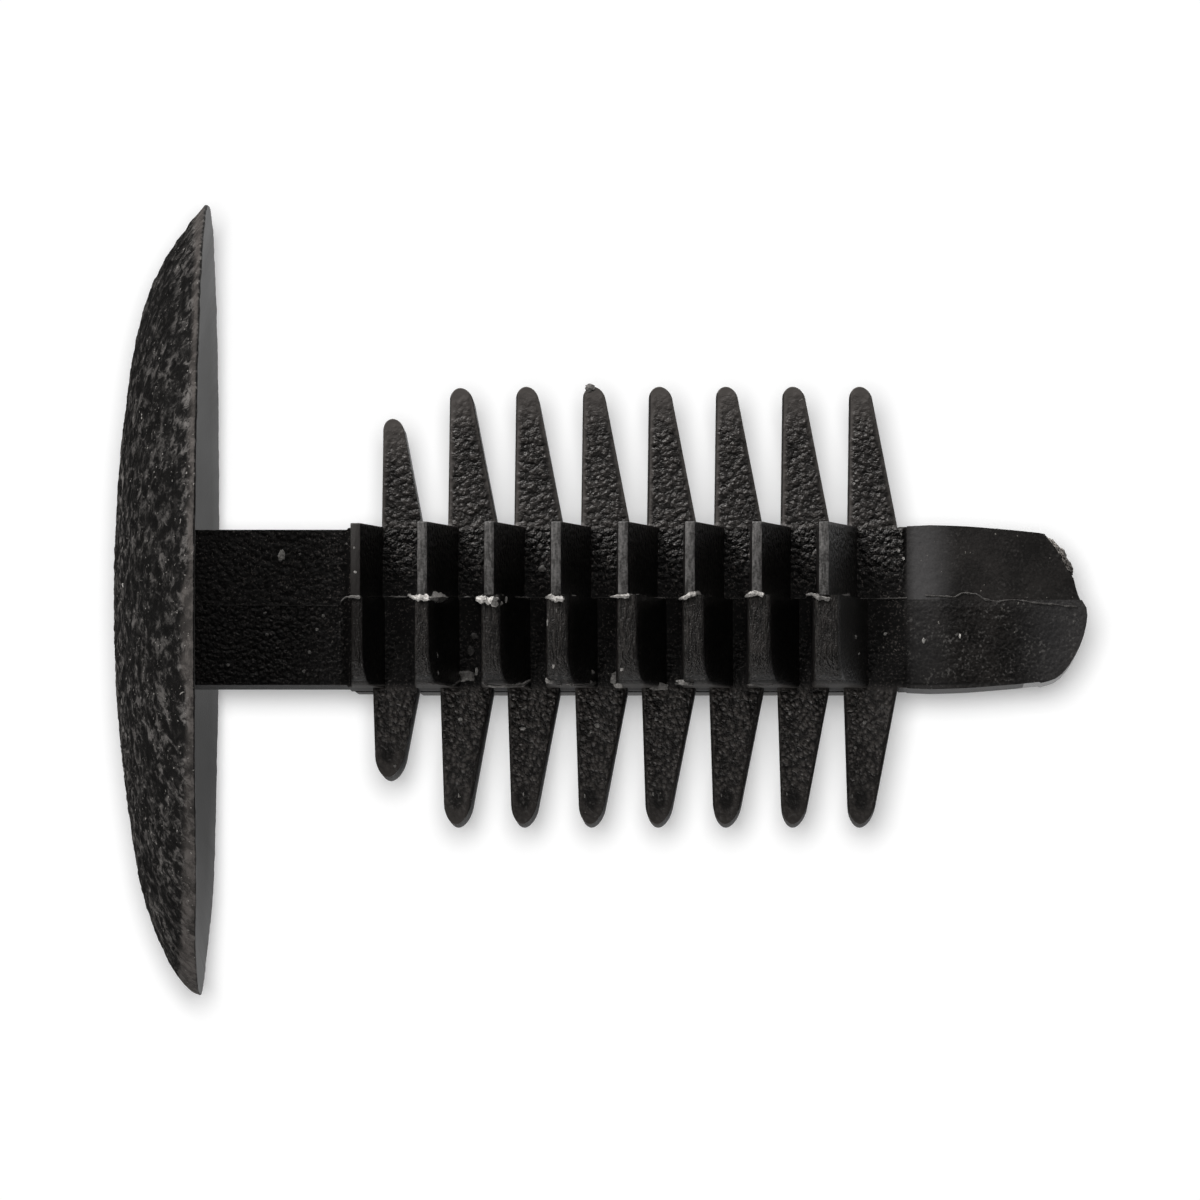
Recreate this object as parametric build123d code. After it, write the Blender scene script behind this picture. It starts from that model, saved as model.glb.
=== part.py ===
from build123d import *
import os
from math import atan2, degrees, radians, sqrt, tan

os.makedirs("parts", exist_ok=True)

# Cover plug: one moulding in black plastic. A thin-edged domed head closes the hole in the
# panel, and a square shank with four rows of springy blades is pushed into it.
# Millimetres. The plug stands on the crown of its head, at the origin, and +Z runs up the
# shank to the nose. The mould closes on the YZ plane: one half of it forms the side at -X,
# called the gate half here, and the other forms the side at +X, called the plain half.

# Head: a dome with a hollow underside that meets the panel along its rim
head_radius = 12.7
head_height = 2.9
crown_radius = 50.0
shoulder_start = 9.3
head_wall = 1.25
ceiling_radius = 7.0
rim_land = 0.25

# Shank: square, from the hollow of the head to the nose
shank_width = 5.0

# Blades: a flat face towards the head and a sloped one towards the nose
blade_count = 8
blade_pitch = 2.13
flat_draft = 1.2
slope_draft = 11.4
grip_length = 4.76

# Cross blades stand along X, and each half of the mould forms one row of them. The plain half
# has its row a little nearer the head, and a little wider spaced.
gate_offset = 0.92
plain_offset = 0.62
plain_pitch = 2.16
cross_tip = 0.59
gate_reach = 7.04
gate_first_reach = 6.0
plain_reach = 6.87
plain_first_reach = 5.42

# Side blades stand along Y, across the parting plane. Their tips are thin and sharp-edged in
# the gate half, and thicker and rounded in the plain half.
side_reach = 7.0
side_first_reach = 5.7
side_tip_gate = 0.34
side_tip_plain = 0.62
side_crown = 0.13
side_corner = 1.2

# Nose: a barrel-sided block with a domed end, which is lower in the gate half
nose_start = 22.35
nose_length = 5.98
nose_base = 5.14
nose_belly = 5.23
nose_belly_at = 1.3
nose_tip = 4.74
nose_dome = 1.08
nose_step = 0.3
nose_corner = 0.3

# Gate stub: what is left on the nose where the runner was broken off
stub_radius = 0.5
stub_offset = 1.7
stub_height = 0.22

# Where the parts of the plug meet
shank_half = shank_width / 2
first_side_blade = head_height + grip_length
first_gate_blade = first_side_blade + gate_offset
first_plain_blade = first_side_blade + plain_offset
nose_base_at = head_height + nose_start
nose_end = nose_base_at + nose_length


def arc_depth(radius, at):
    """How far a round crown of this radius has dropped at this distance from its centre."""
    return radius - sqrt(radius**2 - at**2)


def head():
    """The dome, turned about Z from its section. Its hollow is a cone with a flat ceiling."""
    half_way = shoulder_start / 2
    shoulder = (shoulder_start, arc_depth(crown_radius, shoulder_start))
    rim = (head_radius, head_height)
    lip = (head_radius - rim_land, head_height)
    ceiling = (ceiling_radius, head_wall)
    crown = ThreePointArc((0, 0), (half_way, arc_depth(crown_radius, half_way)), shoulder)
    turn = TangentArc(shoulder, rim, tangent=crown % 1)
    inside = Polyline(rim, lip, ceiling, (0, head_wall), (0, 0))
    section = Plane.XZ * make_face(crown + turn + inside)
    return revolve(section, axis=Axis.Z)


def shank():
    """The square core, which starts inside the head and ends inside the nose."""
    low = head_wall / 2
    length = nose_base_at + nose_belly_at - low
    return Pos(0, 0, low) * extrude(Rectangle(shank_width, shank_width), amount=length)


def blade_section(reach, tip, crown, low):
    """One blade, drawn with x away from the plug's axis and y along it, flat face below.
    Its end bulges by the crown, or is flat where there is none."""
    length = reach - shank_half
    flat = tan(radians(flat_draft))
    slope = tan(radians(slope_draft))
    high = low + tip + length * (flat + slope)
    edge = length - crown
    under = (reach - crown, low + edge * flat)
    over = (reach - crown, high - edge * slope)
    sides = Polyline(over, (shank_half, high), (0, high), (0, low), (shank_half, low), under)
    if crown:
        end = ThreePointArc(under, (reach, (under[1] + over[1]) / 2), over)
    else:
        end = Line(under, over)
    return make_face(sides + end)


def blade_row(reach, first_reach, tip, crown, start, pitch=blade_pitch):
    """The sections of a whole row, of which the first blade is the shortest."""
    row = Sketch() + blade_section(first_reach, tip, crown, start)
    for i in range(1, blade_count):
        row += blade_section(reach, tip, crown, start + i * pitch)
    return row


def cross_blades(reach, first_reach, start, pitch):
    """A row along +X, as wide as the shank, with fully rounded tips."""
    row = blade_row(reach, first_reach, cross_tip, cross_tip / 2, start, pitch)
    return extrude(Plane.XZ * row, amount=shank_half, both=True)


def side_blades():
    """The row along +Y: each half of the mould leaves blades of its own thickness."""
    gate_row = blade_row(side_reach, side_first_reach, side_tip_gate, 0, first_side_blade)
    plain_row = blade_row(side_reach, side_first_reach, side_tip_plain, side_crown, first_side_blade)
    row = extrude(Plane.YZ * gate_row, amount=-shank_half)
    row += extrude(Plane.YZ * plain_row, amount=shank_half)
    for reach, low, high in (
        (side_first_reach, first_side_blade, first_side_blade + blade_pitch),
        (side_reach, first_side_blade + blade_pitch, nose_base_at),
    ):
        row -= Pos(0, 0, low) * extrude(end_corner(reach), amount=high - low)
    return row


def end_corner(reach):
    """What a rounded end corner leaves out of the plain half, seen along the shank."""
    middle = Pos(shank_half - side_corner, reach - side_corner)
    square = Rectangle(side_corner, side_corner, align=Align.MIN)
    return middle * (square - Circle(side_corner))


def nose_section(end):
    """The nose from one side: barrel flanks, soft corners and a domed end at this height."""
    base = nose_base / 2
    belly = nose_belly / 2
    tip = nose_tip / 2
    corner_at = end - nose_dome
    belly_at = nose_base_at + nose_belly_at
    right = ThreePointArc((base, nose_base_at), (belly, belly_at), (tip, corner_at))
    dome = ThreePointArc((tip, corner_at), (0, end), (-tip, corner_at))
    left = ThreePointArc((-tip, corner_at), (-belly, belly_at), (-base, nose_base_at))
    bottom = Line((-base, nose_base_at), (base, nose_base_at))
    face = make_face(right + dome + left + bottom)
    corners = face.vertices().group_by(Axis.Y)[-1]
    return fillet(corners, nose_corner)


def nose_half(end, side):
    """The half of the nose on one side of the parting plane."""
    across = extrude(Plane.XZ * nose_section(end), amount=nose_belly, both=True)
    along = extrude(Plane.YZ * nose_section(end), amount=side * nose_belly)
    return across & along


def gate_stub():
    """A short stub that stands square on the dome of the gate half."""
    tip = nose_tip / 2
    dome_radius = (tip**2 + nose_dome**2) / (2 * nose_dome)
    height = nose_end - nose_step - arc_depth(dome_radius, stub_offset)
    lean = degrees(atan2(stub_offset, sqrt(dome_radius**2 - stub_offset**2)))
    root = stub_radius + stub_height
    stub = Pos(0, 0, (stub_height - root) / 2) * Cylinder(stub_radius, root + stub_height)
    return Pos(-stub_offset, 0, height) * Rot(0, -lean, 0) * stub


def cover_plug():
    """Everything comes out of the mould as one solid."""
    row = side_blades()
    body = shank() + cross_blades(plain_reach, plain_first_reach, first_plain_blade, plain_pitch)
    gate_row = cross_blades(gate_reach, gate_first_reach, first_gate_blade, blade_pitch)
    body += Rot(0, 0, 180) * gate_row
    body += row
    body += mirror(row, about=Plane.XZ)
    body += nose_half(nose_end - nose_step, -1)
    body += nose_half(nose_end, 1)
    body += gate_stub()
    body += head()
    return body.clean()


plug = cover_plug()
plug.label = "cover_plug"
export_step(plug, "parts/cover_plug.step")
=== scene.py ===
from math import cos, pi, radians, sin, sqrt, tan

import bpy
from mathutils import Matrix, Vector, noise


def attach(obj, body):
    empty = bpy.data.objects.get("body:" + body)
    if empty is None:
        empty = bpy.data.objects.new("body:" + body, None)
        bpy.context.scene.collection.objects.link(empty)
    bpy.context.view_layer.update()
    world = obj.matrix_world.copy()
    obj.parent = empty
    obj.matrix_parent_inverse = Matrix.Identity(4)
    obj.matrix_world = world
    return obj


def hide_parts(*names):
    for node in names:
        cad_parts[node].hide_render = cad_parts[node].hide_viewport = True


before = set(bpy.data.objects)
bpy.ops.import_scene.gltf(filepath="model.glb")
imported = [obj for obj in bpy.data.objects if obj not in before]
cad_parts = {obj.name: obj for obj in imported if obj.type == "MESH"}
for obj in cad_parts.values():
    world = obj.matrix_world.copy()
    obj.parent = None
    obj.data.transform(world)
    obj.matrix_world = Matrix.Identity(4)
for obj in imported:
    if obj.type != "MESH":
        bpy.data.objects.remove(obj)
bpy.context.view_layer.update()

mm = 0.001


# Camera
# The plug is photographed from the side, lying across the picture: its nose points right and
# the gate half of the mould is uppermost. The lens is long, and a little below and nose-wards.

picture_width = 38.58 * mm
view_distance = 643 * mm
from_below = radians(2.0)
from_nose = radians(0.63)
sensor_width = 36

back = Vector((sin(from_below), -1, sin(from_nose))).normalized()
across = (Vector((0, 0, 1)) - back * back.z).normalized()
upwards = back.cross(across)
picture_centre = Vector((-0.32, 0, 15.59)) * mm

camera_data = bpy.data.cameras.new("camera")
camera_data.sensor_width = sensor_width
camera_data.lens = sensor_width * view_distance / picture_width
camera = bpy.data.objects.new("camera", camera_data)
bpy.context.scene.collection.objects.link(camera)
turn = Matrix((across, upwards, back)).transposed().to_4x4()
camera.matrix_world = Matrix.Translation(picture_centre + back * view_distance) @ turn
bpy.context.scene.camera = camera


# Head
# A low dome with a thin rim, moulded with a leather grain on the outside so that it matches
# vinyl trim, and left smooth and hollow on the side that faces the panel.

class Signal:
    """A shader socket that can be used in sums. It takes the place of rows of Math nodes."""

    def __init__(self, tree, socket):
        self.tree = tree
        self.socket = socket

    def node(self, kind, settings=None, out=0, **inputs):
        """Any node: its settings first, then the values or links of its sockets."""
        made = self.tree.nodes.new(kind)
        for name, value in (settings or {}).items():
            setattr(made, name, value)
        for name, value in inputs.items():
            where = int(name[1:]) if name[0] == "i" and name[1:].isdigit() else name.replace("_", " ")
            self.join(value, made.inputs[where])
        return Signal(self.tree, made.outputs[out])

    def join(self, value, socket):
        if isinstance(value, Signal):
            self.tree.links.new(value.socket, socket)
        else:
            socket.default_value = value

    def maths(self, operation, *values):
        inputs = {f"i{n}": value for n, value in enumerate(values)}
        return self.node("ShaderNodeMath", {"operation": operation}, **inputs)

    def __add__(self, other): return self.maths("ADD", self, other)
    def __radd__(self, other): return self.maths("ADD", other, self)
    def __sub__(self, other): return self.maths("SUBTRACT", self, other)
    def __rsub__(self, other): return self.maths("SUBTRACT", other, self)
    def __mul__(self, other): return self.maths("MULTIPLY", self, other)
    def __truediv__(self, other): return self.maths("DIVIDE", self, other)
    def __gt__(self, other): return self.maths("GREATER_THAN", self, other)
    def __lt__(self, other): return self.maths("LESS_THAN", self, other)
    def __abs__(self): return self.maths("ABSOLUTE", self)
    def __mod__(self, other): return self.maths("MODULO", self, other)
    def upto(self, other): return self.maths("MINIMUM", self, other)
    def atleast(self, other): return self.maths("MAXIMUM", self, other)

    def step(self, low, high):
        """A smooth rise from 0 at low to 1 at high."""
        settings = {"interpolation_type": "SMOOTHSTEP"}
        return self.node("ShaderNodeMapRange", settings, Value=self, From_Min=low, From_Max=high)

    def between(self, start, end):
        """The colour between start and end at this share."""
        settings = {"data_type": "RGBA"}
        return self.node("ShaderNodeMix", settings, out=2, i0=self, i6=start, i7=end)


def new_material(name):
    """A material, and its object coordinates in millimetres."""
    made = bpy.data.materials.new(name)
    made.use_nodes = True
    tree = made.node_tree
    start = Signal(tree, tree.nodes.new("ShaderNodeTexCoord").outputs["Object"])
    return made, start.node("ShaderNodeMapping", Vector=start, Scale=(1 / mm, 1 / mm, 1 / mm))


def finish_material(made, spot, colour, rough, height, depth, specular):
    """Joins a material's looks to its shader: depth is that of the relief, in millimetres."""
    relief = spot.node("ShaderNodeBump", Height=height, Strength=1.0, Distance=depth * mm)
    looks = {"Base Color": colour, "Roughness": rough, "Normal": relief, "IOR": 1.5,
             "Specular IOR Level": specular}
    for name, value in looks.items():
        spot.join(value, made.node_tree.nodes["Principled BSDF"].inputs[name])
    return made


def parts_of(spot):
    """The x, y and z of a place."""
    split = spot.node("ShaderNodeSeparateXYZ", i0=spot)
    outputs = split.socket.node.outputs
    return [Signal(spot.tree, outputs[n]) for n in range(3)]


def clouds(spot, size, detail=2.0, rough=0.5, stretch=None):
    """Soft noise around 0.5, with blotches of this size in millimetres."""
    place = spot.node("ShaderNodeMapping", Vector=spot, Scale=stretch) if stretch else spot
    return spot.node("ShaderNodeTexNoise", Vector=place, Scale=1 / size, Detail=detail, Roughness=rough)


def plastic(tone):
    """The colour of the plug's slightly brown black at this brightness."""
    return (tone, tone * 0.915, tone * 0.865, 1)


def ridged(spot, size, detail, rough):
    """Sharp ridges that wander, part and meet again, with pits of this size between them."""
    settings = {"noise_type": "RIDGED_MULTIFRACTAL"}
    return spot.node("ShaderNodeTexNoise", settings, Vector=spot, Scale=1 / size, Detail=detail,
                     Roughness=rough, Lacunarity=2.1, Offset=0.9, Gain=2.0)


def pebbled(spot, cell):
    """Round pebbles of this size, side by side: up to 1 on top and lower in the gaps."""
    settings = {"feature": "SMOOTH_F1"}
    away = spot.node("ShaderNodeTexVoronoi", settings, Vector=spot, Scale=1 / cell, Smoothness=0.25)
    return (1 - away) * 0.6 + clouds(spot, cell / 2, 2) * 0.45


def pitted(spot, cell, low, high, share):
    """Round pits, 1 in their middle: about this share of the cells of this size has one."""
    cells = spot.node("ShaderNodeTexVoronoi", Vector=spot, Scale=1 / cell)
    chance = Signal(spot.tree, cells.socket.node.outputs[1])
    red = spot.node("ShaderNodeSeparateColor", i0=chance)
    return (1 - cells.step(low, high)) * red.step(share, share + 0.15)


def grained_skin():
    """Black plastic, with painted shade in the pits of the grain and painted highlights on the ridges between
    them, and worn paler at the rim.
    """
    made, spot = new_material("grained_skin")
    rubbed = spot.node("ShaderNodeAttribute", {"attribute_name": "rubbed"}, out=2)
    patches = clouds(spot, 1.6, 3)
    fine = clouds(spot, 0.035, 1)
    x, y, z = parts_of(spot)
    wander = spot.node("ShaderNodeTexNoise", out=1, Vector=spot, Scale=2.2, Detail=2.0)
    settings = {"operation": "MULTIPLY_ADD"}
    bent = spot.node("ShaderNodeVectorMath", settings, i0=wander, i1=(0.5, 0.5, 0.5), i2=spot)
    pits = pitted(bent, 0.5, 0.22, 0.55, 0.3)
    marble = clouds(bent, 0.46, 6, 0.75)
    threads = ridged(bent, 0.9, 5, 0.6).step(1.2, 2.2)
    brim = z.step(2.2, 2.7)
    crown = 1 - z.step(0.1, 1.2)
    pale = 0.40 + brim.atleast(crown) * 0.38 + x.step(-2, 9) * 0.25 + patches.step(0.45, 0.65) * 0.2
    # painted shade: the pits of the grain are painted darker, and they also sink the relief
    pit_relief_and_shade = pits * (1 - brim * 0.6)
    # painted highlights: the raised ridges of the grain are painted paler
    raised = marble.step(0.48, 0.65) * 0.68 + threads * 0.25 + 0.01
    wear_and_highlight = raised * pale * (1 - pit_relief_and_shade * 0.92)
    dust = (clouds(spot, 0.09, 1) > 0.725) * (clouds(spot, 0.9, 2) > 0.46)
    tone = wear_and_highlight.upto(1.0).between(plastic(0.0003), (0.165, 0.16, 0.156, 1))
    blotch = marble.step(0.38, 0.6) * 0.5 + patches.step(0.35, 0.6) * 0.3 + 0.15
    smear = (rubbed * blotch).between(tone, (0.068, 0.063, 0.060, 1))
    colour = (dust * 0.75).between(smear, (0.26, 0.255, 0.245, 1))
    rough = 0.62 - wear_and_highlight.upto(1.0) * 0.12 + patches * 0.1
    height = marble * 1.2 + threads * 0.25 + fine * 0.2 - pit_relief_and_shade * 0.6
    return finish_material(made, spot, colour, rough, height, 0.07, 0.1)


def smooth_skin():
    """Plain moulded black plastic, for the hollow and the rim."""
    made, spot = new_material("smooth_skin")
    patches = clouds(spot, 2.4, 3)
    fine = clouds(spot, 0.06, 2)
    tone = patches.step(0.3, 0.7).between(plastic(0.009), plastic(0.014))
    return finish_material(made, spot, tone, 0.42 + patches * 0.12, fine, 0.008, 0.35)


def deselect_all():
    if bpy.context.mode != "OBJECT":
        bpy.ops.object.mode_set(mode="OBJECT")
    bpy.ops.object.select_all(action="DESELECT")


def activate(piece):
    """Selects one piece alone and makes it the active one."""
    deselect_all()
    piece.select_set(True)
    bpy.context.view_layer.objects.active = piece


def finish_piece(piece, name, *materials):
    """Names a piece, smooths it, gives it its materials and ties it to the plug."""
    piece.name = name
    piece.data.name = name
    activate(piece)
    bpy.ops.object.transform_apply(location=True, rotation=True, scale=True)
    bpy.ops.object.shade_smooth_by_angle(angle=radians(32))
    piece.data.materials.clear()
    for material in materials:
        piece.data.materials.append(material)
    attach(piece, "root")
    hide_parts("cover_plug")
    return piece


# the dome is centred a little towards the gate half
head_shift = -0.32 * mm
head_radius = 12.70 * mm
head_height = 2.955 * mm
head_wall = 1.25 * mm
ceiling_radius = 7.0 * mm
crown_radius = 50 * mm
crown_end = 8.3
# the rim: the flat land inside it, how far it tips and hangs, and the roll of its outer edge
rim_land = 0.17 * mm
rim_roll = 0.064 * mm
rim_droop = 0.13 * mm
rim_round = 0.11 * mm
rim_rings = (0.75, 0.5, 0.3, 0.15, 0.05, 0)
# the lip in millimetres: how far in from the edge, and how far above the head's height
rim_lip = [(0.0, -0.03), (0.02, 0.0), (0.05, 0.02)]
head_steps = 720
skin_steps = 112
hollow_steps = 8
same_place = 0.2e-6
# the outside of the shoulder from the crown to the rim: it is flatter towards the gate half
gate_shoulder = [(8.3, 0.694), (9.3, 0.93), (10.29, 1.283), (10.93, 1.61), (11.58, 2.0), (11.9, 2.30),
                 (12.09, 2.41), (12.28, 2.565), (12.41, 2.665), (12.54, 2.795), (12.65, 2.88), (12.70, 2.92)]
plain_shoulder = [(8.3, 0.694), (9.3, 0.875), (10.29, 1.173), (10.93, 1.421), (11.57, 1.726), (11.9, 1.906),
                  (12.21, 2.17), (12.34, 2.31), (12.47, 2.48), (12.60, 2.64), (12.66, 2.76), (12.70, 2.90)]


def ease(value, low, high):
    """A smooth rise from 0 at low to 1 at high."""
    share = min(1, max(0, (value - low) / (high - low)))
    return share * share * (3 - 2 * share)


def droop(x, r, low, high):
    """How much lower the rim is at the plain end of the head, from one radius to another."""
    return rim_droop * ease(x, 8.6 * mm, 12.2 * mm) * ease(r, low, high)


def along(table, at):
    """The height of a drawn line at this place, both in millimetres."""
    for (r0, z0), (r1, z1) in zip(table, table[1:]):
        if at <= r1:
            return z0 + (z1 - z0) * (at - r0) / (r1 - r0)
    return table[-1][1]


def dome_height(r, turned):
    """How far the outside has risen at this distance from the middle. turned is 1 at the gate side."""
    if r <= crown_end * mm:
        return crown_radius - sqrt(crown_radius**2 - r**2)
    share = (1 + turned) / 2
    return (along(gate_shoulder, r / mm) * share + along(plain_shoulder, r / mm) * (1 - share)) * mm


def head_profile():
    """The section of the head from its apex, over the rim and back to the axis inside."""
    radii = [head_radius * n / skin_steps for n in range(skin_steps)]
    radii += [head_radius - rim_round * share for share in rim_rings]
    points = [(r, dome_height(r, 0)) for r in sorted(radii)]
    points += [(head_radius - inwards * mm, head_height + up * mm) for inwards, up in rim_lip]
    lip = head_radius - rim_land
    points.append((lip, points[-1][1]))
    for n in range(1, hollow_steps + 1):
        share = n / hollow_steps
        height = head_height + (head_wall - head_height) * share
        points.append((lip + (ceiling_radius - lip) * share, height))
    return points + [(ceiling_radius / 2, head_wall), (0, head_wall)]


def draw_line(points):
    """Draws a line of (x, z) points in the XZ plane, and leaves it selected in edit mode."""
    deselect_all()
    bpy.ops.mesh.primitive_plane_add(size=mm, location=(points[0][0], 0, points[0][1]))
    piece = bpy.context.object
    bpy.ops.object.transform_apply(location=True, rotation=True, scale=True)
    bpy.ops.object.mode_set(mode="EDIT")
    bpy.ops.mesh.select_mode(type="VERT")
    bpy.ops.mesh.select_all(action="SELECT")
    bpy.ops.mesh.merge(type="CENTER")
    for start, end in zip(points, points[1:]):
        move = (end[0] - start[0], 0, end[1] - start[1])
        bpy.ops.mesh.extrude_region_move(TRANSFORM_OT_translate={"value": move})
    bpy.ops.mesh.select_all(action="SELECT")
    return piece


def face_outwards():
    """Turns all faces of the piece in edit mode outwards and leaves that mode."""
    bpy.ops.mesh.select_all(action="SELECT")
    bpy.ops.mesh.normals_make_consistent(inside=False)
    bpy.ops.object.mode_set(mode="OBJECT")


def spin_line(points, steps):
    """Spins a line of points round the Z axis into a closed solid."""
    piece = draw_line(points)
    bpy.ops.mesh.spin(steps=steps, angle=2 * pi, center=(0, 0, 0), axis=(0, 0, 1))
    bpy.ops.mesh.select_all(action="SELECT")
    bpy.ops.mesh.remove_doubles(threshold=same_place)
    face_outwards()
    return piece


leather_cell = 0.70
leather_fine = 0.33
leather_wide = 1.1
leather_depth = 0.085 * mm
leather_swell = 0.015 * mm


def crease(place, cell, low, high):
    """1 along the borders of a net of cells of this size, and 0 inside them."""
    near = noise.voronoi(place / cell)[0]
    return 1 - ease(near[1] - near[0], low, high)


def braid(place, cell):
    """Wandering ridges that part and meet again, about this far apart: 1 along them."""
    return 1 - min(1, abs(noise.noise(place / cell)) * 3.2)


def leather(x, y):
    """The grain at a place in millimetres: 0 in the pits and 1 on the ridges between them."""
    place = Vector((x, y, 0))
    bend = Vector((noise.noise(place * 1.3), noise.noise(place * 1.3 + Vector((9, 4, 2))), 0)) * 0.5
    fold = noise.noise(place * 2.6 + Vector((3, 3, 3)))
    broad = crease(place + bend, leather_cell, 0.02, 0.30 + 0.16 * fold)
    small = braid(place + bend * 0.6 + Vector((0, 0, 4)), leather_fine)
    patch = ease(noise.noise(place * 0.8 + Vector((1, 7, 5))), -0.1, 0.5)
    speck = noise.noise(place * 8)
    wide = braid(place + bend, leather_wide)
    raised = max(broad * (0.5 + 0.8 * fold), wide * (0.75 + 0.5 * fold), small * (0.15 + 0.6 * patch))
    return min(1, max(0, raised + 0.3 * speck * (0.3 + patch)))


def grain_end(x, y, turned):
    """The radius at which the grain runs out into the smooth rim. All is in millimetres."""
    place = Vector((x, y, 0))
    end = 12.63 + 0.05 * noise.noise(place * 1.4) - 0.3 * abs(turned)**8 - 0.1 * ease(x, 4, 8)
    if y < 0:
        # a patch of the rim is rubbed, just below the shank on the near side
        patch = ease(x, -0.6, 0.3) * (1 - ease(x, 2.6, 3.6))
        end -= 0.22 * patch * (0.7 + 0.5 * noise.noise(place * 1.8))
    return end


head = spin_line(head_profile(), head_steps)
rubs = head.data.attributes.new("rubbed", "FLOAT", "POINT")
for vertex in head.data.vertices:
    x, y, z = vertex.co
    r = sqrt(x * x + y * y)
    turned = -x / r if r > 1e-6 else 0
    if r < ceiling_radius and z > head_wall - 1e-6:
        continue
    if z >= dome_height(min(r, head_radius), 0) + 0.001 * mm:
        # the hollow side only tips and hangs with the rim
        vertex.co.z += turned * rim_roll * r / head_radius - droop(x, r, 8 * mm, 12.2 * mm)
        continue
    end = grain_end(x / mm, y / mm, turned)
    fade = 1 - ease(r / mm, end - 0.10, end + 0.04)
    rubs.data[vertex.index].value = 1 - fade
    grain = leather(x / mm, y / mm)
    swell = noise.noise(Vector((x, y, 0)) / mm * 0.5)
    vertex.co.z += dome_height(r, turned) - dome_height(r, 0)
    vertex.co.z += fade * ((0.6 - grain) * leather_depth + swell * leather_swell)
    vertex.co.z -= droop(x, r, head_radius - 0.8 * mm, head_radius - 0.1 * mm)

# the rim is a feather edge that came out of the mould a little ragged
ragged_band = 0.6 * mm
ragged_waves = ((0.8, 0.015), (2.6, 0.012), (7, 0.008))
for vertex in head.data.vertices:
    x, y, z = vertex.co
    r = sqrt(x * x + y * y)
    if r > head_radius - ragged_band:
        place = Vector((x, y, 0)) / mm
        rough = sum(noise.noise(place * often) * deep for often, deep in ragged_waves)
        vertex.co.z += ease(r, head_radius - ragged_band, head_radius - 0.05 * mm) * (rough - 0.02) * mm
    vertex.co.x += head_shift

finish_piece(head, "head", grained_skin(), smooth_skin())
for face in head.data.polygons:
    x, y, z = face.center
    r = sqrt((x - head_shift)**2 + y * y)
    turned = -(x - head_shift) / r if r > 0 else 0
    outside = z < dome_height(min(r, head_radius), turned) + 0.2 * mm
    steepest = 0.6 if r > head_radius - 0.3 * mm else 0.05
    face.material_index = 0 if outside and face.normal.z < steepest else 1


# Shank and cross blades
# Each half of the mould formed half of the square core with a row of springy blades on it. The
# blades have a nearly square face towards the head and a sloped one that eases them into the hole.

# the parting plane lies a little towards the gate half, and steps where the grip ends
gate_bottom = -0.25 * mm
grip_parting = -0.07 * mm
grip_step = (7.19 * mm, 7.42 * mm)
# the core widens to the blades between these heights
flare = (7.5 * mm, 7.56 * mm)
core_half = 2.505 * mm
grip_out = 2.49 * mm
blade_out = 2.55 * mm
neck_out = 2.58 * mm
neck_start = 25.2 * mm
draft = tan(radians(1.4))
shank_start = 0.9 * mm
nose_start = 25.45 * mm
core_end = nose_start + 0.1 * mm
edge_break = 0.035 * mm


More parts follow.
